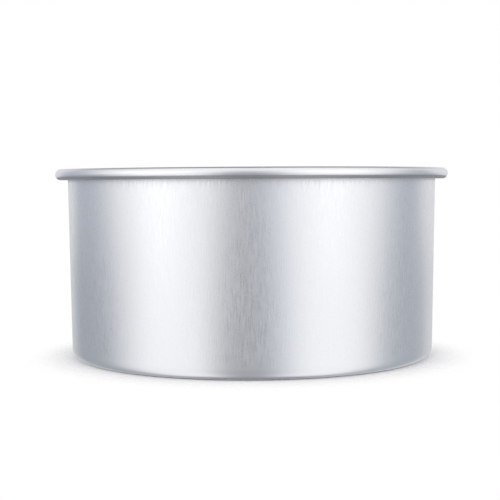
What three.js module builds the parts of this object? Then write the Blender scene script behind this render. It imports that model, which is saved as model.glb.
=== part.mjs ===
// A deep round cake pan with a lift-out base, in millimetres, +Z up.
// The origin is the centre of the ring that the pan stands on.
// The shell is one aluminium sheet: a flat seat turned in at the bottom, a rounded corner, a wall with a
// little draft and a rim rolled outwards over a steel wire. The base is a second sheet that lies on the seat.
import * as THREE from "three";

// Driving dimensions of the shell
const mouthDiameter = 203; // inside, just under the rolled rim
const overallHeight = 104.5; // floor to the top of the rim
const shellSheet = 1.0; // thickness of the shell's sheet
const draftAngle = THREE.MathUtils.degToRad(0.9); // lean of the wall, so that a cake and the base come out
const cornerRadius = 6; // outside, between the wall and the floor
const seatWidth = 7; // flat ring that the base lies on

// Driving dimensions of the rolled rim
const rimHeight = 5.9; // top to bottom of the roll, outside
const rimOverhang = 6.9; // how far the roll stands out from the wall's outer face
const rimEdgeGap = 0.4; // between the tucked-in edge of the sheet and the wall
const wireClearance = 0.3; // between the wire and the sheet rolled over it

// Driving dimensions of the lift-out base
const baseSheet = 1.0; // thickness of the base's sheet
const baseEdgeClearance = 0.5; // between the base's edge and the start of the shell's corner
const seatClearance = 0.1; // between the seat and the land of the base that lies on it
const panelLift = 0.4; // between the middle panel and the surface that the pan stands on
const stepClearance = 0.6; // between the edge of the seat and the step that centres the base in it
const stepBendRadius = 1.0; // middle line of the two bends of the step

// Fineness of the round surfaces
const turnSteps = 72; // steps of a full turn about the axis
const bendStep = THREE.MathUtils.degToRad(18); // largest step along a bend of a sheet
const wireSides = 10; // sides of the wire's section

// The middle line of a sheet is a chain of points in the (radius, height) half plane, each with the
// direction in which the sheet's left face lies, seen along the chain.
function pointOnSheet(radius, height, heading) {
  return {
    place: new THREE.Vector2(radius, height),
    left: new THREE.Vector2(-Math.sin(heading), Math.cos(heading)),
  };
}

// The points of a bend about a centre, from one heading to another. A falling heading turns right.
function bend(centre, radius, startHeading, endHeading) {
  const turn = endHeading - startHeading;
  const towardsCentre = Math.sign(turn);
  const steps = Math.max(1, Math.ceil(Math.abs(turn) / bendStep));
  return Array.from({ length: steps + 1 }, (_, step) => {
    const heading = startHeading + (turn * step) / steps;
    return pointOnSheet(
      centre.x + radius * towardsCentre * Math.sin(heading),
      centre.y - radius * towardsCentre * Math.cos(heading),
      heading,
    );
  });
}

// The closed outline of a sheet of even thickness round its middle line.
function sheetOutline(middleLine, thickness) {
  const offset = (point, distance) => point.place.clone().addScaledVector(point.left, distance);
  const leftFace = middleLine.map((point) => offset(point, thickness / 2));
  const rightFace = middleLine.map((point) => offset(point, -thickness / 2));
  return [...rightFace, ...leftFace.reverse()];
}

// Turns an outline, which runs anticlockwise in the (radius, height) half plane, about the Z axis.
function turned(outline) {
  const startsOnAxis = outline[0].x === 0;
  const closed = startsOnAxis ? outline : [...outline, outline[0]];
  return new THREE.LatheGeometry(closed, turnSteps).rotateX(Math.PI / 2);
}

function named(name, geometry, material) {
  const mesh = new THREE.Mesh(geometry, material);
  mesh.name = name;
  return mesh;
}

// Headings along a middle line
const outwards = 0;
const upTheWall = Math.PI / 2 - draftAngle;
const inwards = -Math.PI;

// Places that the pieces share
const rollRadius = (rimHeight - shellSheet) / 2; // middle line of the roll
const rollCentreHeight = overallHeight - rimHeight / 2;
const underRimHeight = overallHeight - rimHeight;
const cornerBendRadius = cornerRadius - shellSheet / 2; // middle line of the corner
const wallOuterRadiusAt = (height) =>
  mouthDiameter / 2 + shellSheet / Math.cos(draftAngle) + (height - underRimHeight) * Math.tan(draftAngle);
const wallMiddleRadiusAt = (height) => wallOuterRadiusAt(height) - shellSheet / 2 / Math.cos(draftAngle);
const rimRadius = wallOuterRadiusAt(underRimHeight) + rimOverhang;
const wireRingRadius = rimRadius - rimHeight / 2; // centre of the roll's round outer end
const cornerCentre = new THREE.Vector2(
  wallMiddleRadiusAt(cornerRadius) - cornerBendRadius / Math.cos(draftAngle),
  cornerRadius,
);
const seatOpeningRadius = cornerCentre.x - seatWidth;

function panShell() {
  const seatMiddle = shellSheet / 2;
  const rimStart = new THREE.Vector2(
    wallMiddleRadiusAt(rollCentreHeight) + rollRadius / Math.cos(draftAngle),
    rollCentreHeight,
  );
  const rimEnd = new THREE.Vector2(wireRingRadius, rollCentreHeight);
  const tuckedEdgeHeight = underRimHeight + shellSheet / 2;
  const middleLine = [
    pointOnSheet(seatOpeningRadius, seatMiddle, outwards),
    ...bend(cornerCentre, cornerBendRadius, outwards, upTheWall),
    ...bend(rimStart, rollRadius, upTheWall, outwards),
    ...bend(rimEnd, rollRadius, outwards, inwards),
    pointOnSheet(wallOuterRadiusAt(tuckedEdgeHeight) + rimEdgeGap, tuckedEdgeHeight, inwards),
  ];
  return turned(sheetOutline(middleLine, shellSheet));
}

function rimWire() {
  const wireRadius = rimHeight / 2 - shellSheet - wireClearance;
  const outline = Array.from({ length: wireSides }, (_, side) => {
    const angle = (2 * Math.PI * side) / wireSides;
    return new THREE.Vector2(
      wireRingRadius + wireRadius * Math.cos(angle),
      rollCentreHeight + wireRadius * Math.sin(angle),
    );
  });
  return turned(outline);
}

function looseBase() {
  const panelMiddle = panelLift + baseSheet / 2;
  const landMiddle = shellSheet + seatClearance + baseSheet / 2;
  const stepRise = landMiddle - panelMiddle;
  const stepSlope = Math.acos(1 - stepRise / (2 * stepBendRadius));
  const bendRun = stepBendRadius * Math.sin(stepSlope);
  const landStart = seatOpeningRadius - stepClearance;
  const panelEnd = landStart - 2 * bendRun;
  const lowerBendCentre = new THREE.Vector2(panelEnd, panelMiddle + stepBendRadius);
  const upperBendCentre = new THREE.Vector2(landStart, landMiddle - stepBendRadius);
  const middleLine = [
    pointOnSheet(0, panelMiddle, outwards),
    ...bend(lowerBendCentre, stepBendRadius, outwards, stepSlope),
    ...bend(upperBendCentre, stepBendRadius, stepSlope, outwards).slice(1),
    pointOnSheet(cornerCentre.x - baseEdgeClearance, landMiddle, outwards),
  ];
  return turned(sheetOutline(middleLine, baseSheet));
}

const anodisedAluminium = new THREE.MeshStandardMaterial({ color: 0xd3d5da, roughness: 0.36, metalness: 1 });
const turnedAluminium = new THREE.MeshStandardMaterial({ color: 0xcfd1d6, roughness: 0.32, metalness: 1 });
const galvanisedWire = new THREE.MeshStandardMaterial({ color: 0x8f9296, roughness: 0.45, metalness: 1 });

const pan = new THREE.Group();
pan.name = "cake_pan";
pan.add(
  named("pan_shell", panShell(), anodisedAluminium),
  named("rim_wire", rimWire(), galvanisedWire),
  named("loose_base", looseBase(), turnedAluminium),
);

export default pan;
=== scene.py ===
"""Looks of a deep round cake pan on a plain stage.

The pan is a drawn shell with a rolled rim, a wire inside that rim and a base that lifts out.
"""
import math

import bmesh
import bpy
from bpy.props import FloatProperty, FloatVectorProperty, IntProperty, PointerProperty
from mathutils import Euler, Matrix, Quaternion, Vector


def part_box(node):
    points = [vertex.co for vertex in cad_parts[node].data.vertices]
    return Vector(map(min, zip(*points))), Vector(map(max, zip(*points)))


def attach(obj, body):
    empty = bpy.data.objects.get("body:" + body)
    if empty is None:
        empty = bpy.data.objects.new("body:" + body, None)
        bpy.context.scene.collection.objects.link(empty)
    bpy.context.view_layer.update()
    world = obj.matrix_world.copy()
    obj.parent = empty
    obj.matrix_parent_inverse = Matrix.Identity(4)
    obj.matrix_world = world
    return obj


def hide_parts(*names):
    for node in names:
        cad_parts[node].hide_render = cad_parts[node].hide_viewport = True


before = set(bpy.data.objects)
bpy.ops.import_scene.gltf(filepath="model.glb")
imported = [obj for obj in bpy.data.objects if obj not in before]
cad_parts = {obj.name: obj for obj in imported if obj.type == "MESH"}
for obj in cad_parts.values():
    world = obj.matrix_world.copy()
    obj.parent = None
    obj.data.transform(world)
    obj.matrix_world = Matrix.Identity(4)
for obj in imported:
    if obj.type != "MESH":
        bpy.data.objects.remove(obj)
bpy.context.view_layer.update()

bl_info = {
    "name": "Deep Round Cake Pan",
    "version": (1, 0, 0),
    "blender": (4, 5, 0),
    "location": "View3D > Sidebar > Cake Pan",
    "description": "Builds a satin aluminium cake pan with a lift-out base on a plain stage",
    "category": "Add Mesh",
}

_, SHELL_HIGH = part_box("pan_shell")
WIRE_LOW, WIRE_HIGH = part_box("rim_wire")
BASE_LOW, BASE_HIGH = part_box("loose_base")
WIRE_HEIGHT = (WIRE_LOW.z + WIRE_HIGH.z) / 2
MM = 0.001

# Points of a turned mesh that lie closer than this are one point
MERGE_DISTANCE = 0.001 * MM

# Fineness of the stage's round shapes
STAGE_STEPS = 96
STAGE_BEND_STEP = math.radians(10)

# Distance between the columns, and between the rows, of nodes in the node editor
NODE_STEP = 200

# The span that holds most values of a noise texture, and its middle
NOISE_SPAN = (0.25, 0.75)
NOISE_MIDDLE = 0.5


def length(name, description, default):
    """A property for a length in metres."""
    return FloatProperty(name=name, description=description, default=default, unit="LENGTH", precision=5)


def share(name, description, default):
    """A property for a share from 0 to 1."""
    return FloatProperty(
        name=name, description=description, default=default, min=0, max=1, subtype="FACTOR"
    )


def count(name, description, default, least):
    """A property for a whole number that is never under the least one."""
    return IntProperty(name=name, description=description, default=default, min=least)


def angle(name, description, degrees):
    """A property for an angle, given in degrees."""
    return FloatProperty(name=name, description=description, default=math.radians(degrees), subtype="ANGLE")


def colour(name, description, default):
    """A property for a linear colour."""
    return FloatVectorProperty(
        name=name, description=description, default=default, size=3, min=0, max=1, subtype="COLOR"
    )


def position(name, description, default):
    """A property for a place in metres."""
    return FloatVectorProperty(
        name=name, description=description, default=default, size=3, unit="LENGTH", subtype="TRANSLATION"
    )


class PanSizes(bpy.types.PropertyGroup):
    """Sizes of the pan's sheets and of its wire."""

    overall_height: length("Overall Height", "Standing ring to the top of the rim", SHELL_HIGH.z)
    rim_radius: length("Rim Radius", "Axis to the outside of the rolled rim", SHELL_HIGH.x)
    rim_height: length("Rim Height", "Top to bottom of the roll", 2 * (SHELL_HIGH.z - WIRE_HEIGHT))
    rim_overhang: length("Rim Overhang", "How far the roll stands out from the wall", 6.9 * MM)
    rim_edge_gap: length("Rim Edge Gap", "Between the tucked-in edge of the sheet and the wall", 0.4 * MM)
    shell_sheet: length("Shell Sheet", "Thickness of the shell's sheet", 1.0 * MM)
    draft: angle("Draft", "Lean of the wall", 0.9)
    corner_radius: length("Corner Radius", "Outside, between the wall and the standing ring", 6.0 * MM)
    seat_width: length("Seat Width", "Flat ring that the base lies on", 7.0 * MM)
    wire_radius: length("Wire Radius", "Half the thickness of the rim's wire", 1.65 * MM)
    base_radius: length("Base Radius", "Axis to the edge of the lift-out base", BASE_HIGH.x)
    base_bottom: length("Base Bottom", "Height of the underside of the base's middle panel", BASE_LOW.z)
    base_height: length("Base Height", "From there to the top of the land", BASE_HIGH.z - BASE_LOW.z)
    base_sheet: length("Base Sheet", "Thickness of the base's sheet", 1.0 * MM)
    step_clearance: length("Step Clearance", "Between the edge of the seat and the base's step", 0.6 * MM)
    step_bend_radius: length("Step Bend Radius", "Middle line of the two bends of the step", 1.0 * MM)
    edge_round: length("Edge Round", "Rounding of the sheets' cut edges", 0.25 * MM)
    turn_steps: count("Turn Steps", "Steps of a full turn about the axis", 256, 24)
    wire_sides: count("Wire Sides", "Sides of the wire's section", 20, 8)
    bend_step: angle("Bend Step", "Largest step along a bend of a sheet", 5)


class PanFinish(bpy.types.PropertyGroup):
    """Colours and grain of the pan's metals."""

    aluminium: colour("Aluminium", "Satin anodised sheet", (0.90, 0.905, 0.93))
    aluminium_shade: colour("Aluminium Shade", "The sheet under a thicker film", (0.86, 0.867, 0.895))
    base: colour("Base", "Turned sheet of the lift-out base", (0.80, 0.81, 0.83))
    base_shade: colour("Base Shade", "The base where its lines are deeper", (0.70, 0.71, 0.735))
    base_grazing: colour("Base Grazing", "Tint of its reflections at a low angle", (0.80, 0.80, 0.82))
    zinc: colour("Zinc", "Coating of the rim's wire", (0.56, 0.57, 0.59))
    zinc_shade: colour("Zinc Shade", "Duller crystals of the coating", (0.42, 0.43, 0.45))
    shell_roughness: share("Shell Roughness", "Mean roughness of the shell", 0.30)
    rim_roughness: share("Rim Roughness", "Mean roughness of the rolled rim", 0.28)
    base_roughness: share("Base Roughness", "Mean roughness of the base", 0.36)
    wire_roughness: share("Wire Roughness", "Mean roughness of the wire", 0.45)
    shell_spread: share("Shell Spread", "How far the streaks change the wall's roughness", 0.09)
    rim_spread: share("Rim Spread", "How far the lines change the rim's roughness", 0.03)
    base_spread: share("Base Spread", "How far the lines change the base's roughness", 0.09)
    wire_spread: share("Wire Spread", "How far the crystals change the wire's roughness", 0.08)
    shell_film_spread: share("Shell Film Spread", "How far the film changes the shell's roughness", 0.015)
    base_film_spread: share("Base Film Spread", "How far the film changes the base's roughness", 0.03)
    mean_tint: share("Mean Tint", "Mean share of the shade in a sheet's colour", 0.4)
    shell_film_tint: share("Shell Film Tint", "How far the film changes that share on the shell", 0.15)
    base_film_tint: share("Base Film Tint", "How far the film changes that share on the base", 0.2)
    shell_grain_tint: share("Shell Grain Tint", "How far the grain changes that share on the shell", 0.05)
    base_line_tint: share("Base Line Tint", "How far the broad lines change it on the base", 0.5)
    streak_width: length("Streak Width", "Width of the wall's fine upright streaks", 0.65 * MM)
    streak_length: length("Streak Length", "Length of the wall's fine upright streaks", 7.0 * MM)
    grain_depth: length("Grain Depth", "Height of the wall's streaks", 0.02 * MM)
    rim_line_share: share("Rim Line Share", "Height of the rim's lines, as a share of the streaks'", 0.3)
    turning_width: length("Turning Width", "Width of the lines round the rim and the base", 0.5 * MM)
    broad_width: length("Broad Width", "Width of the broad lines on the base", 4.5 * MM)
    turning_depth: length("Turning Depth", "Height of the lines on the base", 0.05 * MM)
    shell_film_size: length("Shell Film Size", "Size of the film's patches on the shell", 45 * MM)
    base_film_size: length("Base Film Size", "Size of the film's patches on the base", 35 * MM)
    wire_film_size: length("Wire Film Size", "Size of the coating's patches on the wire", 12 * MM)
    crystal_size: length("Crystal Size", "Size of the coating's crystals", 1.5 * MM)
    crystal_depth: length("Crystal Depth", "Height of the coating's crystals", 0.02 * MM)


class PanStage(bpy.types.PropertyGroup):
    """Camera, lights and floor round the pan."""

    camera_distance: length("Camera Distance", "Camera to the pan's axis, level", 0.6915)
    camera_height: length("Camera Height", "Camera above the floor", 0.0972)
    camera_shift: length("Camera Shift", "Camera to the left of the pan's axis", 1.0 * MM)
    camera_tilt: angle("Camera Tilt", "How far the camera looks down", 3.19)
    camera_roll: angle("Camera Roll", "Turn of the camera about its own line of sight", -0.29)
    focal_length: FloatProperty(name="Focal Length", description="Lens, in millimetres", default=88.07)
    floor_colour: colour("Floor", "Plain pale floor", (0.97, 0.97, 0.975))
    floor_inside: length("Floor Inside", "Axis to the edge of the floor inside the standing ring", 0.088)
    floor_start: length("Floor Start", "Axis to the edge of the floor under the standing ring", 0.095)
    floor_foot: length("Floor Foot", "Axis to the edge of the floor that the corner reflects", 0.097)
    floor_solid: length("Floor Solid", "Axis to where the floor starts to fade out", 0.099)
    floor_end: length("Floor End", "Axis to where the floor has faded into the backdrop", 0.128)
    tent_radius: length("Tent Radius", "Axis to the wall of the light tent", 1.2)
    tent_depth: length("Tent Depth", "Floor down to the bottom of the tent", 0.2)
    tent_wall: length("Tent Wall", "Floor up to where the tent starts to curve in", 0.5)
    tent_curve: length("Tent Curve", "Radius of that curve", 0.8)
    overhead_start: length("Overhead Start", "Height where the overhead greys start", 0.4)
    overhead_full: length("Overhead Full", "Height where they have taken over", 1.0)
    low_start: length("Low Start", "Height under which the low greys start", 0.035)
    low_full: length("Low Full", "Height where they have taken over", -0.055)
    under_solid: length("Under Solid", "Axis to where the grey below the floor starts to fade", 0.07)
    under_end: length("Under End", "Axis to where that grey has faded", 0.13)
    under_rise: length("Under Rise", "How far that grey reaches above the bottom of the tent", 0.02)
    front_shade: colour("Front", "Grey of the tent on the camera's side", (0.455, 0.457, 0.475))
    front_low_shade: colour("Front, Low", "The same side, lower down", (0.353, 0.356, 0.371))
    front_right_shade: colour("Front, Right", "Cooler grey to the camera's right", (0.435, 0.458, 0.492))
    front_right_low_shade: colour("Front, Right, Low", "The same side, lower down", (0.34, 0.358, 0.382))
    front_edge_shade: colour("Front, Edge", "Grey before the bright right side", (0.70, 0.742, 0.785))
    front_high_shade: colour("Front, High", "Grey of the camera's side, overhead", (0.84, 0.84, 0.86))
    left_shade: colour("Left", "Grey of the tent's left side", (0.445, 0.475, 0.53))
    left_low_shade: colour("Left, Low", "The same side, lower down", (0.352, 0.378, 0.415))
    right_shade: colour("Right", "Grey of the tent's right side", (0.435, 0.463, 0.515))
    right_low_shade: colour("Right, Low", "The same side, lower down", (0.392, 0.424, 0.456))
    back_shade: colour("Back", "Grey of the tent behind the pan", (0.80, 0.80, 0.81))
    back_low_shade: colour("Back, Low", "The same side, lower down", (0.70, 0.70, 0.71))
    back_high_shade: colour("Back, High", "The same side, overhead", (0.28, 0.28, 0.30))
    low_shade: colour("Bright, Low", "The tent's bright left side, lower down", (0.985, 0.985, 0.99))
    under_shade: colour("Under", "Grey of the tent's middle, below the floor", (0.24, 0.25, 0.27))
    # Painted shade: a dark glowing ring under the rim, seen only in reflections, that darkens the rim's
    # underside and the wall below it
    painted_shade_grey: colour("Painted Shade", "Grey of the flag under the rim", (0.18, 0.185, 0.195))
    painted_shade_cover: share("Flag Cover", "How much the flag hides of what is behind it", 0.8)
    painted_shade_start: length("Flag Start", "Axis to the inner edge of the flag", 0.1037)
    painted_shade_end: length("Flag End", "Axis to the outer edge of the flag", 0.1118)
    painted_shade_top: length("Flag Top", "Height of the flag's inner edge", 0.0985)
    painted_shade_bottom: length("Flag Bottom", "Height of the flag's outer edge", 0.0979)
    left_softbox: position("Left Softbox", "Middle of the left softbox", (-0.9, -0.64, 0.3))
    right_softbox: position("Right Softbox", "Middle of the right softbox", (0.81, -0.77, 0.3))
    softbox_width: length("Softbox Width", "Width of each softbox", 0.77)
    softbox_length: length("Softbox Length", "Height of each softbox", 1.03)
    softbox_watts: FloatProperty(name="Softbox Power", description="Watts of each softbox", default=0.6)


# Middle lines and turned sheets


class MiddleLine:
    """The middle line of a sheet, drawn from its start in the half plane of radius and height."""

    def __init__(self, radius, height, bend_step):
        self.mesh = bmesh.new()
        self.bend_step = bend_step
        self.end = self.mesh.verts.new((radius, 0, height))

    def straight_to(self, radius, height):
        """Runs straight to a point."""
        grown = bmesh.ops.extrude_vert_indiv(self.mesh, verts=[self.end])
        self.end = grown["verts"][0]
        self.end.co = (radius, 0, height)

    def held_straight_to(self, radius, height, hold):
        """Runs straight to a point, with a point near each end that keeps the shading even."""
        start = self.end.co.copy()
        step = (Vector((radius, 0, height)) - start).normalized() * hold
        self.straight_to(start.x + step.x, start.z + step.z)
        self.straight_to(radius - step.x, height - step.z)
        self.straight_to(radius, height)

    def bend(self, centre, turn):
        """Swings the end about a centre. A positive turn is from outwards to upwards."""
        steps = max(1, math.ceil(abs(turn) / self.bend_step))
        swung = bmesh.ops.spin(
            self.mesh,
            geom=[self.end],
            cent=(centre[0], 0, centre[1]),
            axis=(0, -1, 0),
            angle=turn,
            steps=steps,
        )
        self.end = swung["geom_last"][0]


def turn_about_axis(bm, steps):
    """Turns an outline in the half plane of radius and height fully round the pan's axis."""
    bmesh.ops.spin(
        bm,
        geom=bm.verts[:] + bm.edges[:],
        cent=(0, 0, 0),
        axis=(0, 0, 1),
        angle=2 * math.pi,
        steps=steps,
        use_merge=True,
    )
    bmesh.ops.remove_doubles(bm, verts=bm.verts[:], dist=MERGE_DISTANCE)
    bmesh.ops.recalc_face_normals(bm, faces=bm.faces[:])


def piece_from(bm, name, material):
    """Makes a smooth-shaded object at the origin from a bmesh."""
    for face in bm.faces:
        face.smooth = True
    mesh = bpy.data.meshes.new(name)
    bm.to_mesh(mesh)
    bm.free()
    mesh.materials.append(material)
    piece = bpy.data.objects.new(name, mesh)
    bpy.context.scene.collection.objects.link(piece)
    return piece


def give_thickness(piece, thickness, edge_round):
    """Gives a turned middle surface its sheet thickness, and rounds the sheet's cut edges."""
    solidify = piece.modifiers.new("sheet", "SOLIDIFY")
    solidify.thickness = thickness
    solidify.offset = 0
    solidify.use_even_offset = True
    bevel = piece.modifiers.new("cut_edges", "BEVEL")
    bevel.width = edge_round
    bevel.segments = 3
    bevel.limit_method = "ANGLE"
    bevel.angle_limit = math.radians(50)


class ShellPlaces:
    """Places of the shell's folds, worked out from the sizes."""

    def __init__(self, sizes):
        self.sizes = sizes
        self.under_rim = sizes.overall_height - sizes.rim_height
        self.roll_radius = (sizes.rim_height - sizes.shell_sheet) / 2
        self.roll_height = sizes.overall_height - sizes.rim_height / 2
        self.rim_end = sizes.rim_radius - sizes.rim_height / 2
        self.corner_bend = sizes.corner_radius - sizes.shell_sheet / 2
        self.corner = self.wall_middle(sizes.corner_radius) - self.corner_bend / math.cos(sizes.draft)
        self.seat_opening = self.corner - sizes.seat_width

    def wall_outside(self, height):
        """Radius of the wall's outer face."""
        under_rim_radius = self.sizes.rim_radius - self.sizes.rim_overhang
        return under_rim_radius + (height - self.under_rim) * math.tan(self.sizes.draft)

    def wall_middle(self, height):
        """Radius of the middle of the wall's sheet."""
        return self.wall_outside(height) - self.sizes.shell_sheet / 2 / math.cos(self.sizes.draft)


def shell_mesh(sizes):
    """The shell's middle surface: seat, corner, wall and rolled rim."""
    places = ShellPlaces(sizes)
    half_sheet = sizes.shell_sheet / 2
    quarter = math.pi / 2 - sizes.draft
    roll_start = places.wall_middle(places.roll_height) + places.roll_radius / math.cos(sizes.draft)
    wall_top = (
        roll_start - places.roll_radius * math.cos(sizes.draft),
        places.roll_height + places.roll_radius * math.sin(sizes.draft),
    )
    tucked_edge = places.under_rim + half_sheet
    line = MiddleLine(places.seat_opening, half_sheet, sizes.bend_step)
    line.held_straight_to(places.corner, half_sheet, half_sheet)
    line.bend((places.corner, sizes.corner_radius), quarter)
    line.held_straight_to(*wall_top, half_sheet)
    line.bend((roll_start, places.roll_height), -quarter)
    line.straight_to(places.rim_end, sizes.overall_height - half_sheet)
    line.bend((places.rim_end, places.roll_height), -math.pi)
    line.held_straight_to(places.wall_outside(tucked_edge) + sizes.rim_edge_gap, tucked_edge, half_sheet)
    turn_about_axis(line.mesh, sizes.turn_steps)
    return line.mesh


def base_mesh(sizes):
    """The base's middle surface: a flat panel, a step up and the land that lies on the seat."""
    half_sheet = sizes.base_sheet / 2
    panel = sizes.base_bottom + half_sheet
    land = sizes.base_bottom + sizes.base_height - half_sheet
    bend_radius = sizes.step_bend_radius
    slope = math.acos(1 - (land - panel) / (2 * bend_radius))
    land_start = ShellPlaces(sizes).seat_opening - sizes.step_clearance
    panel_end = land_start - 2 * bend_radius * math.sin(slope)
    line = MiddleLine(0, panel, sizes.bend_step)
    line.held_straight_to(panel_end, panel, half_sheet)
    line.bend((panel_end, panel + bend_radius), slope)
    line.bend((land_start, land - bend_radius), -slope)
    line.held_straight_to(sizes.base_radius, land, half_sheet)
    turn_about_axis(line.mesh, sizes.turn_steps)
    return line.mesh


def wire_mesh(sizes):
    """The ring of wire that the rim is rolled over."""
    places = ShellPlaces(sizes)
    middle = Matrix.Translation((places.rim_end, 0, places.roll_height))
    section = middle @ Matrix.Rotation(math.pi / 2, 4, "X")
    bm = bmesh.new()
    bmesh.ops.create_circle(
        bm, cap_ends=False, radius=sizes.wire_radius, segments=sizes.wire_sides, matrix=section
    )
    turn_about_axis(bm, sizes.turn_steps)
    return bm


# Shader nodes


def add_node(tree, kind, place, **settings):
    """Adds a node at a place of the node editor, counted in columns and rows, and sets its properties."""
    node = tree.nodes.new(kind)
    node.location = (place[0] * NODE_STEP, -place[1] * NODE_STEP)
    for key, value in settings.items():
        setattr(node, key, value)
    return node


def feed(tree, value, socket):
    """Links a socket to an input, or sets the input to a number or a vector."""
    if isinstance(value, bpy.types.NodeSocket):
        tree.links.new(value, socket)
    else:
        socket.default_value = value


def math_node(tree, operation, place, first, second):
    """Adds a Math node whose inputs are sockets or numbers, and returns its output."""
    node = add_node(tree, "ShaderNodeMath", place, operation=operation)
    feed(tree, first, node.inputs[0])
    feed(tree, second, node.inputs[1])
    return node.outputs[0]


def vector_node(tree, operation, place, *values):
    """Adds a Vector Math node whose inputs are sockets or vectors."""
    node = add_node(tree, "ShaderNodeVectorMath", place, operation=operation)
    for socket, value in zip(node.inputs, values):
        feed(tree, value, socket)
    return node


def map_range(tree, place, value, span, onto=(0, 1), **settings):
    """Maps a span of values onto another one, and returns the mapped value."""
    node = add_node(tree, "ShaderNodeMapRange", place, **settings)
    for label, limit in zip(("From Min", "From Max", "To Min", "To Max"), (*span, *onto)):
        node.inputs[label].default_value = limit
    tree.links.new(value, node.inputs["Value"])
    return node.outputs["Result"]


def spread(tree, place, value, middle, amount):
    """Spreads a noise pattern about a middle value by an amount each way."""
    return map_range(tree, place, value, NOISE_SPAN, (middle - amount, middle + amount), clamp=False)


def between(tree, place, value, start, end):
    """Adds a mask that rises smoothly from 0 at the start to 1 at the end."""
    return map_range(tree, place, value, (start, end), interpolation_type="SMOOTHSTEP")


def mix_colours(tree, place, factor, first, second):
    """Mixes two colours by a mask, and returns the mixed colour."""
    node = add_node(tree, "ShaderNodeMix", place, data_type="RGBA")
    feed(tree, factor, node.inputs["Factor"])
    sockets = [socket for socket in node.inputs if socket.type == "RGBA"]
    for socket, value in zip(sockets, (first, second)):
        feed(tree, value if isinstance(value, bpy.types.NodeSocket) else (*value, 1), socket)
    return next(socket for socket in node.outputs if socket.type == "RGBA")


def mix_values(tree, place, factor, first, second):
    """Mixes two values by a mask, and returns the mixed value."""
    node = add_node(tree, "ShaderNodeMix", place, data_type="FLOAT")
    feed(tree, factor, node.inputs["Factor"])
    feed(tree, first, node.inputs["A"])
    feed(tree, second, node.inputs["B"])
    return node.outputs["Result"]


def object_point(tree, place):
    """Adds the point being shaded, in the piece's own coordinates."""
    return add_node(tree, "ShaderNodeTexCoord", place).outputs["Object"]


def split_point(tree, place):
    """Adds the X, Y and Z of the point being shaded."""
    split = add_node(tree, "ShaderNodeSeparateXYZ", place)
    tree.links.new(object_point(tree, (place[0] - 1, place[1])), split.inputs[0])
    return split.outputs


def flat_point(tree, place):
    """Adds the point being shaded, moved to height 0."""
    point = object_point(tree, (place[0] - 1, place[1]))
    return vector_node(tree, "MULTIPLY", place, point, (1, 1, 0)).outputs["Vector"]


def noise(tree, place, point, scale, detail, roughness):
    """Adds a noise texture at a point, and returns its value."""
    node = add_node(tree, "ShaderNodeTexNoise", place, noise_dimensions="3D")
    feed(tree, scale, node.inputs["Scale"])
    node.inputs["Detail"].default_value = detail
    node.inputs["Roughness"].default_value = roughness
    tree.links.new(point, node.inputs["Vector"])
    return node.outputs["Fac"]


# Grain groups


def new_group(name, inputs, output):
    """Makes a shader node group with number sockets, and returns it with its input and output nodes."""
    group = bpy.data.node_groups.new(name, "ShaderNodeTree")
    for label, default in inputs.items():
        socket = group.interface.new_socket(name=label, in_out="INPUT", socket_type="NodeSocketFloat")
        socket.default_value = default
    group.interface.new_socket(name=output, in_out="OUTPUT", socket_type="NodeSocketFloat")
    start = add_node(group, "NodeGroupInput", (-6, 0))
    end = add_node(group, "NodeGroupOutput", (6, 0))
    return group, start.outputs, end.inputs


def round_coordinates(tree):
    """Adds the radius, the height and the direction round the axis of the point being shaded."""
    flat = flat_point(tree, (-4, 1))
    radius = vector_node(tree, "LENGTH", (-3, 2), flat).outputs["Value"]
    direction = vector_node(tree, "NORMALIZE", (-3, 1), flat).outputs["Vector"]
    return radius, split_point(tree, (-3, 3))["Z"], direction


def upright_grain_group(wall_radius):
    """Fine streaks that run up the wall, left by the drawing of the sheet."""
    group, given, result = new_group("upright_grain", {"Width": 0.65 * MM, "Length": 7 * MM}, "Streak")
    _, height, direction = round_coordinates(group)
    per_turn = math_node(group, "DIVIDE", (-2, 0), wall_radius, given["Width"])
    around = vector_node(group, "SCALE", (-1, 1), direction)
    group.links.new(per_turn, around.inputs["Scale"])
    lift = add_node(group, "ShaderNodeCombineXYZ", (0, 3))
    group.links.new(math_node(group, "DIVIDE", (-1, 3), height, given["Length"]), lift.inputs["Z"])
    point = vector_node(group, "ADD", (1, 1), around.outputs["Vector"], lift.outputs["Vector"])
    streak = noise(group, (2, 1), point.outputs["Vector"], scale=1.0, detail=3.0, roughness=0.6)
    group.links.new(streak, result["Streak"])


def turning_grain_group():
    """Fine lines that run round the axis, left by the rolling of the rim and the turning of the base."""
    group, given, result = new_group("turning_grain", {"Width": 0.5 * MM}, "Line")
    radius, height, direction = round_coordinates(group)
    section = add_node(group, "ShaderNodeCombineXYZ", (-1, 2))
    group.links.new(math_node(group, "DIVIDE", (-2, 2), radius, given["Width"]), section.inputs["X"])
    group.links.new(math_node(group, "DIVIDE", (-2, 3), height, given["Width"]), section.inputs["Y"])
    point = vector_node(group, "ADD", (0, 1), section.outputs["Vector"], direction)
    line = noise(group, (1, 1), point.outputs["Vector"], scale=1.0, detail=3.0, roughness=0.65)
    group.links.new(line, result["Line"])


def film_cloud_group():
    """Soft patches where a film or coating is a little thicker or thinner."""
    group, given, result = new_group("film_cloud", {"Size": 40 * MM}, "Cloud")
    scale = math_node(group, "DIVIDE", (-3, 0), 1.0, given["Size"])
    cloud = noise(group, (-1, 1), object_point(group, (-5, 1)), scale, detail=4.0, roughness=0.5)
    group.links.new(cloud, result["Cloud"])


def pattern(tree, group_name, place, **values):
    """Places a grain group in a material with its own values, and returns what it puts out."""
    node = add_node(tree, "ShaderNodeGroup", place, node_tree=bpy.data.node_groups[group_name])
    for label, value in values.items():
        node.inputs[label].default_value = value
    return node.outputs[0]


# Metals


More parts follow.
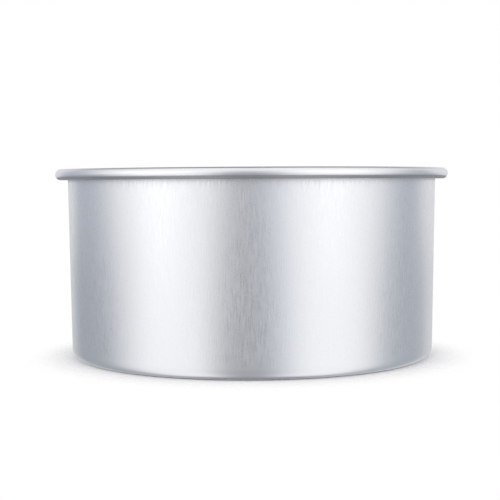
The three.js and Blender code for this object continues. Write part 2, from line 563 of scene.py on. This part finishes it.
def metal(name, sizes):
    """A new metal, with its node tree and its shader. The first one also makes the grain groups."""
    if "upright_grain" not in bpy.data.node_groups:
        upright_grain_group(sizes.rim_radius - sizes.rim_overhang)
        turning_grain_group()
        film_cloud_group()
    material = bpy.data.materials.new(name)
    material.use_nodes = True
    tree = material.node_tree
    shader = tree.nodes["Principled BSDF"]
    shader.inputs["Metallic"].default_value = 1.0
    return material, tree, shader


def add_bump(tree, shader, place, height, distance):
    """Raises a surface by a pattern, over a distance in metres."""
    bump = add_node(tree, "ShaderNodeBump", place)
    bump.inputs["Strength"].default_value = 1.0
    bump.inputs["Distance"].default_value = distance
    tree.links.new(height, bump.inputs["Height"])
    tree.links.new(bump.outputs["Normal"], shader.inputs["Normal"])


def drawn_aluminium(sizes, finish):
    """Satin anodised sheet with upright grain on the wall and lines that run round the rim."""
    material, tree, shader = metal("drawn_aluminium", sizes)
    height = split_point(tree, (-6, 5))["Z"]
    under_rim = sizes.overall_height - sizes.rim_height
    rim_blend = 0.1 * sizes.rim_height
    rim_mask = between(tree, (-5, 5), height, under_rim - rim_blend, under_rim + rim_blend)
    grain_start = 0.5 * sizes.corner_radius
    grain_full = 2 * sizes.corner_radius
    wall_mask = between(tree, (-5, 6), height, grain_start, grain_full)
    upright = pattern(
        tree, "upright_grain", (-6, 0), Width=finish.streak_width, Length=finish.streak_length
    )
    streak = mix_values(tree, (-5, 0), wall_mask, NOISE_MIDDLE, upright)
    ring = pattern(tree, "turning_grain", (-6, 2), Width=finish.turning_width)
    rim_grain = math_node(tree, "MULTIPLY", (-5, 2), ring, finish.rim_line_share)
    grain = mix_values(tree, (-4, 1), rim_mask, streak, rim_grain)
    film = pattern(tree, "film_cloud", (-6, 3), Size=finish.shell_film_size)
    wall_rough = spread(tree, (-4, 3), streak, finish.shell_roughness, finish.shell_spread)
    rim_rough = spread(tree, (-4, 4), ring, finish.rim_roughness, finish.rim_spread)
    film_rough = spread(tree, (-4, 6), film, 0.0, finish.shell_film_spread)
    sheet_rough = mix_values(tree, (-3, 3), rim_mask, wall_rough, rim_rough)
    rough = math_node(tree, "ADD", (-2, 3), sheet_rough, film_rough)
    tree.links.new(rough, shader.inputs["Roughness"])
    film_tint = spread(tree, (-4, 0), film, finish.mean_tint, finish.shell_film_tint)
    grain_tint = spread(tree, (-4, -1), grain, 0.0, finish.shell_grain_tint)
    tint = math_node(tree, "ADD", (-3, 0), film_tint, grain_tint)
    sheet = mix_colours(tree, (-2, 0), tint, finish.aluminium, finish.aluminium_shade)
    tree.links.new(sheet, shader.inputs["Base Color"])
    add_bump(tree, shader, (-1, 2), grain, finish.grain_depth)
    return material


def turned_aluminium(sizes, finish):
    """Satin anodised sheet with fine and broad lines that run round its middle."""
    material, tree, shader = metal("turned_aluminium", sizes)
    shader.inputs["Specular Tint"].default_value = (*finish.base_grazing, 1)
    line = pattern(tree, "turning_grain", (-6, 0), Width=finish.turning_width)
    broad = pattern(tree, "turning_grain", (-6, 1), Width=finish.broad_width)
    film = pattern(tree, "film_cloud", (-6, 2), Size=finish.base_film_size)
    line_rough = spread(tree, (-4, 2), line, finish.base_roughness, finish.base_spread)
    film_rough = spread(tree, (-4, 3), film, 0.0, finish.base_film_spread)
    rough = math_node(tree, "ADD", (-3, 2), line_rough, film_rough)
    tree.links.new(rough, shader.inputs["Roughness"])
    film_tint = spread(tree, (-4, 0), film, finish.mean_tint, finish.base_film_tint)
    broad_tint = spread(tree, (-4, -1), broad, 0.0, finish.base_line_tint)
    tint = math_node(tree, "ADD", (-3, 0), film_tint, broad_tint)
    sheet = mix_colours(tree, (-2, 0), tint, finish.base, finish.base_shade)
    tree.links.new(sheet, shader.inputs["Base Color"])
    twice_broad = math_node(tree, "MULTIPLY", (-4, 1), broad, 2.0)
    grain = math_node(tree, "ADD", (-3, 1), line, twice_broad)
    add_bump(tree, shader, (-1, 1), grain, finish.turning_depth)
    return material


def zinc_coating(sizes, finish):
    """Zinc-coated wire with dull and bright crystals."""
    material, tree, shader = metal("zinc_coating", sizes)
    crystals = add_node(tree, "ShaderNodeTexVoronoi", (-6, 0), feature="F1")
    crystals.inputs["Scale"].default_value = 1 / finish.crystal_size
    tree.links.new(object_point(tree, (-7, 0)), crystals.inputs["Vector"])
    shade = add_node(tree, "ShaderNodeSeparateColor", (-5, 0))
    tree.links.new(crystals.outputs["Color"], shade.inputs[0])
    film = pattern(tree, "film_cloud", (-6, 2), Size=finish.wire_film_size)
    dull = math_node(tree, "MULTIPLY", (-4, 0), shade.outputs[0], film)
    coating = mix_colours(tree, (-2, 0), dull, finish.zinc, finish.zinc_shade)
    tree.links.new(coating, shader.inputs["Base Color"])
    rough = spread(tree, (-3, 2), dull, finish.wire_roughness, finish.wire_spread)
    tree.links.new(rough, shader.inputs["Roughness"])
    add_bump(tree, shader, (-1, 1), dull, finish.crystal_depth)
    return material


# Stage


def fade_by_radius(tree, full, end, power):
    """Adds a cover that is full near the axis and falls to nothing at the end radius."""
    reach = vector_node(tree, "LENGTH", (-4, 2), flat_point(tree, (-5, 2))).outputs["Value"]
    return math_node(tree, "POWER", (-2, 2), map_range(tree, (-3, 2), reach, (end, full)), power)


def matt_material(name, shade):
    """A matt material of one colour, with its node tree and its shader."""
    material = bpy.data.materials.new(name)
    material.use_nodes = True
    tree = material.node_tree
    shader = tree.nodes["Principled BSDF"]
    shader.inputs["Base Color"].default_value = (*shade, 1)
    shader.inputs["Roughness"].default_value = 1.0
    shader.inputs["Specular IOR Level"].default_value = 0.0
    return material, tree, shader


def glowing_material(name):
    """A material that only glows, with its node tree and its shader."""
    material, tree, shader = matt_material(name, (0, 0, 0))
    shader.inputs["Emission Strength"].default_value = 1.0
    return material, tree, shader


def floor_material(values):
    """A plain pale floor that fades out into the backdrop and can be seen through from below."""
    material, tree, shader = matt_material("pale_floor", values.floor_colour)
    cover = fade_by_radius(tree, values.floor_solid, values.floor_end, power=2.0)
    below = add_node(tree, "ShaderNodeNewGeometry", (-3, 4)).outputs["Backfacing"]
    above = math_node(tree, "SUBTRACT", (-2, 4), 1.0, below)
    tree.links.new(math_node(tree, "MULTIPLY", (-1, 2), cover, above), shader.inputs["Alpha"])
    return material


def tent_zones(values):
    """The greys round the tent, low down, level with the pan and overhead.

    Each stop is a direction, in degrees from the camera's side with the right side positive, and its shade.
    """
    white, dim = (1, 1, 1), values.low_shade
    back, back_low, high = values.back_shade, values.back_low_shade, values.back_high_shade
    edge = values.front_edge_shade
    low = (
        (-180, back_low), (-147, back_low), (-134, values.left_low_shade), (-102, values.left_low_shade),
        (-60, dim), (-34, dim), (-10, values.front_low_shade), (7, values.front_right_low_shade),
        (20, edge), (31, white), (59, white), (95, values.right_low_shade), (119, values.right_low_shade),
        (144, back_low), (180, back_low),
    )
    level = (
        (-180, back), (-140, back), (-129, values.left_shade), (-112, values.left_shade), (-75, white),
        (-25, white), (-5, values.front_shade), (2, values.front_right_shade), (12, edge), (22, white),
        (69, white), (104, values.right_shade), (110, values.right_shade), (129, back), (180, back),
    )
    overhead = (
        (-180, high), (-155, high), (-90, white),
        (-29, white), (-5, values.front_high_shade), (2, values.front_high_shade), (26, white),
        (90, white), (155, high), (180, high),
    )
    return low, level, overhead


def zone_ramp(tree, place, turn, stops):
    """Adds a colour ramp that runs once round the tent."""
    node = add_node(tree, "ShaderNodeValToRGB", place)
    ramp = node.color_ramp
    ramp.interpolation = "EASE"
    for element, (_, shade) in zip(ramp.elements, (stops[0], stops[-1])):
        element.color = (*shade, 1)
    for degrees, shade in stops[1:-1]:
        ramp.elements.new((degrees + 180) / 360).color = (*shade, 1)
    tree.links.new(turn, node.inputs["Fac"])
    return node.outputs["Color"]


def tent_material(values):
    """Cloth of a light tent that glows evenly, white with grey zones that the metal reflects."""
    material, tree, shader = glowing_material("tent_cloth")
    point = split_point(tree, (-9, 0))
    height = point["Z"]
    nearer = math_node(tree, "MULTIPLY", (-8, 1), point["Y"], -1.0)
    direction = math_node(tree, "ARCTAN2", (-7, 0), point["X"], nearer)
    turns = math_node(tree, "DIVIDE", (-6, 0), direction, 2 * math.pi)
    turn = math_node(tree, "ADD", (-5, 0), turns, 0.5)
    low, level, overhead = (
        zone_ramp(tree, (-4, 2 * row), turn, stops) for row, stops in enumerate(tent_zones(values))
    )
    overhead_mask = between(tree, (-3, -2), height, values.overhead_start, values.overhead_full)
    low_mask = between(tree, (-3, -3), height, values.low_start, values.low_full)
    middle_mask = fade_by_radius(tree, values.under_solid, values.under_end, power=1.0)
    bottom_mask = between(tree, (-3, 6), height, values.under_rise - values.tent_depth, -values.tent_depth)
    under_mask = math_node(tree, "MULTIPLY", (-1, 4), middle_mask, bottom_mask)
    upper = mix_colours(tree, (-2, -2), overhead_mask, level, overhead)
    cloth = mix_colours(tree, (-1, -2), low_mask, upper, low)
    glow = mix_colours(tree, (0, -2), under_mask, cloth, values.under_shade)
    tree.links.new(glow, shader.inputs["Emission Color"])
    return material


def light_tent(values):
    """A drum-shaped light tent with a rounded top round the pan, out of the camera's sight."""
    line = MiddleLine(0, -values.tent_depth, STAGE_BEND_STEP)
    line.straight_to(values.tent_radius, -values.tent_depth)
    line.straight_to(values.tent_radius, values.tent_wall)
    line.bend((values.tent_radius - values.tent_curve, values.tent_wall), math.pi / 2)
    line.straight_to(0, values.tent_wall + values.tent_curve)
    turn_about_axis(line.mesh, STAGE_STEPS)
    tent = piece_from(line.mesh, "light_tent", tent_material(values))
    tent.visible_camera = False


def stage_ring(name, start, end, material):
    """A thin ring round the pan's axis, from one radius and height to another."""
    line = MiddleLine(*start, STAGE_BEND_STEP)
    line.straight_to(*end)
    turn_about_axis(line.mesh, STAGE_STEPS)
    ring = piece_from(line.mesh, name, material)
    return ring


def pale_floor(values):
    """The floor. Only the part of it close to the pan's foot shows in the metal, where it is in shadow.

    The part inside the pan's standing ring shows through the shell once the base is out.
    """
    material = floor_material(values)
    inside = stage_ring("floor_inside", (0, 0), (values.floor_inside, 0), material)
    inside.visible_glossy = False
    inside.visible_diffuse = False
    inside.visible_shadow = False
    stage_ring("floor_foot", (values.floor_start, 0), (values.floor_foot, 0), material)
    outside = stage_ring("floor", (values.floor_foot, 0), (values.floor_end, 0), material)
    outside.visible_glossy = False


def painted_rim_shade(values):
    """Painted shade: a dark glowing ring close under the rim that shows only in reflections."""
    material, _, shader = glowing_material("painted_rim_shade_glow")
    shader.inputs["Emission Color"].default_value = (*values.painted_shade_grey, 1)
    shader.inputs["Alpha"].default_value = values.painted_shade_cover
    inner_edge = (values.painted_shade_start, values.painted_shade_top)
    outer_edge = (values.painted_shade_end, values.painted_shade_bottom)
    # Its grey glow darkens the reflections in the rim's underside and in the wall just below the rim, as
    # painted shade
    painted_shade_ring = stage_ring("painted_rim_shade", inner_edge, outer_edge, material)
    painted_shade_ring.visible_camera = False
    painted_shade_ring.visible_diffuse = False
    painted_shade_ring.visible_shadow = False


def softbox(name, place, values):
    """A soft area light that faces the pan."""
    light = bpy.data.lights.new(name, "AREA")
    light.shape = "RECTANGLE"
    light.size = values.softbox_width
    light.size_y = values.softbox_length
    light.energy = values.softbox_watts
    lamp = bpy.data.objects.new(name, light)
    lamp.location = place
    lamp.rotation_euler = (-Vector(place)).to_track_quat("-Z", "Y").to_euler()
    bpy.context.scene.collection.objects.link(lamp)


def photo_camera(values):
    """The camera of the photograph: level with the rim, looking slightly down."""
    camera = bpy.data.cameras.new("photo_camera")
    camera.lens = values.focal_length
    camera.clip_start = 10 * MM
    placed = bpy.data.objects.new("photo_camera", camera)
    placed.location = (-values.camera_shift, -values.camera_distance, values.camera_height)
    look = Euler((math.pi / 2 - values.camera_tilt, 0, 0)).to_quaternion()
    placed.rotation_euler = (look @ Quaternion((0, 0, 1), values.camera_roll)).to_euler()
    bpy.context.scene.collection.objects.link(placed)
    bpy.context.scene.camera = placed


# Operators


class PAN_OT_shell(bpy.types.Operator):
    """Make the drawn shell with its rolled rim"""

    bl_idname = "pan.shell"
    bl_label = "Shell"

    def execute(self, context):
        sizes, finish = context.scene.pan_sizes, context.scene.pan_finish
        shell = piece_from(shell_mesh(sizes), "shell", drawn_aluminium(sizes, finish))
        give_thickness(shell, sizes.shell_sheet, sizes.edge_round)
        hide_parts("pan_shell")
        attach(shell, "shell")
        return {"FINISHED"}


class PAN_OT_base(bpy.types.Operator):
    """Make the lift-out base"""

    bl_idname = "pan.base"
    bl_label = "Lift-Out Base"

    def execute(self, context):
        sizes, finish = context.scene.pan_sizes, context.scene.pan_finish
        base = piece_from(base_mesh(sizes), "lift_out_base", turned_aluminium(sizes, finish))
        give_thickness(base, sizes.base_sheet, sizes.edge_round)
        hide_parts("loose_base")
        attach(base, "base")
        return {"FINISHED"}


class PAN_OT_wire(bpy.types.Operator):
    """Make the wire inside the rolled rim"""

    bl_idname = "pan.wire"
    bl_label = "Rim Wire"

    def execute(self, context):
        sizes, finish = context.scene.pan_sizes, context.scene.pan_finish
        wire = piece_from(wire_mesh(sizes), "bead_wire", zinc_coating(sizes, finish))
        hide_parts("rim_wire")
        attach(wire, "shell")
        return {"FINISHED"}


class PAN_OT_stage(bpy.types.Operator):
    """Make the floor, the painted shade under the rim, the light tent, the softboxes and the camera"""

    bl_idname = "pan.stage"
    bl_label = "Stage"

    def execute(self, context):
        scene, values = context.scene, context.scene.pan_stage
        scene.view_settings.view_transform = "Standard"
        world = bpy.data.worlds.new("white_room")
        world.use_nodes = True
        world.node_tree.nodes["Background"].inputs["Color"].default_value = (1, 1, 1, 1)
        scene.world = world
        pale_floor(values)
        # Painted shade under the rim, seen only in reflections
        painted_rim_shade(values)
        light_tent(values)
        softbox("left_softbox", values.left_softbox, values)
        softbox("right_softbox", values.right_softbox, values)
        photo_camera(values)
        return {"FINISHED"}


class PAN_PT_sidebar(bpy.types.Panel):
    """The pan's sizes, finish and stage, with a button for each piece"""

    bl_label = "Cake Pan"
    bl_idname = "PAN_PT_sidebar"
    bl_space_type = "VIEW_3D"
    bl_region_type = "UI"
    bl_category = "Cake Pan"

    def draw(self, context):
        for values in (context.scene.pan_sizes, context.scene.pan_finish, context.scene.pan_stage):
            box = self.layout.box()
            for name in values.bl_rna.properties.keys():
                if name not in {"rna_type", "name"}:
                    box.prop(values, name)
        for operator in OPERATORS:
            self.layout.operator(operator.bl_idname)


OPERATORS = (PAN_OT_stage, PAN_OT_shell, PAN_OT_wire, PAN_OT_base)
GROUPS = {"pan_sizes": PanSizes, "pan_finish": PanFinish, "pan_stage": PanStage}
CLASSES = (*GROUPS.values(), *OPERATORS, PAN_PT_sidebar)


def register():
    """Registers the classes and gives each scene its values."""
    for made in CLASSES:
        bpy.utils.register_class(made)
    for name, group in GROUPS.items():
        setattr(bpy.types.Scene, name, PointerProperty(type=group))


def unregister():
    """Takes away what register adds."""
    for name in GROUPS:
        delattr(bpy.types.Scene, name)
    for made in reversed(CLASSES):
        bpy.utils.unregister_class(made)


def main():
    """Builds the stage and the pieces."""
    register()
    bpy.ops.pan.stage()
    bpy.ops.pan.shell()
    bpy.ops.pan.wire()
    bpy.ops.pan.base()


if __name__ == "__main__":
    main()
